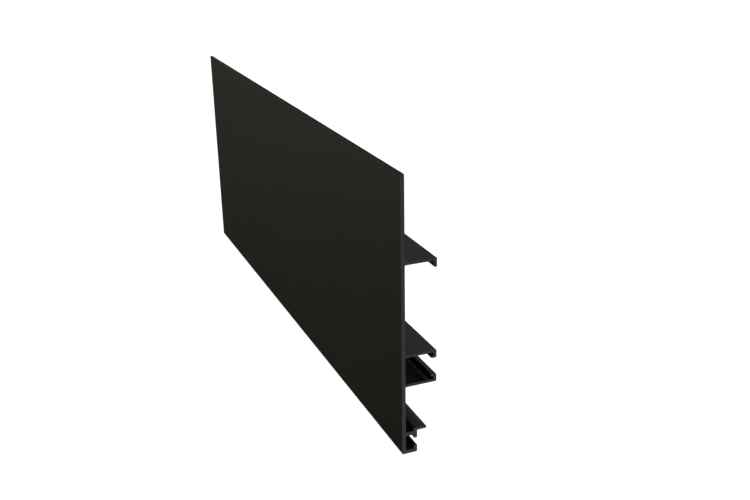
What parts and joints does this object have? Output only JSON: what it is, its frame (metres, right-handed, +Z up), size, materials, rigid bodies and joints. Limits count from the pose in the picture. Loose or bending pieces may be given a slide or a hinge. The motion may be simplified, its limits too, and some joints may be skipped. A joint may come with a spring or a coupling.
{
  "type": "clip-on kick plate profile",
  "caption": "Thin black extruded plate with a hooked leg, a channel for clips and a small seal channel along its back, cut to length to close the gap at floor level.",
  "frame": {"origin": "on the floor, at the middle of the length and of the overall depth", "axes": "+X along the extrusion, -Y out of the plain front face, +Y towards the legs on the back, +Z up from the seal channel's floor to the plain top edge"},
  "size_m": [0.25, 0.0128, 0.1],
  "materials": {
    "black_coat": "satin"
  },
  "bodies": {
    "root": {"kick_plate_profile": "black_coat"}
  },
  "joints": []
}
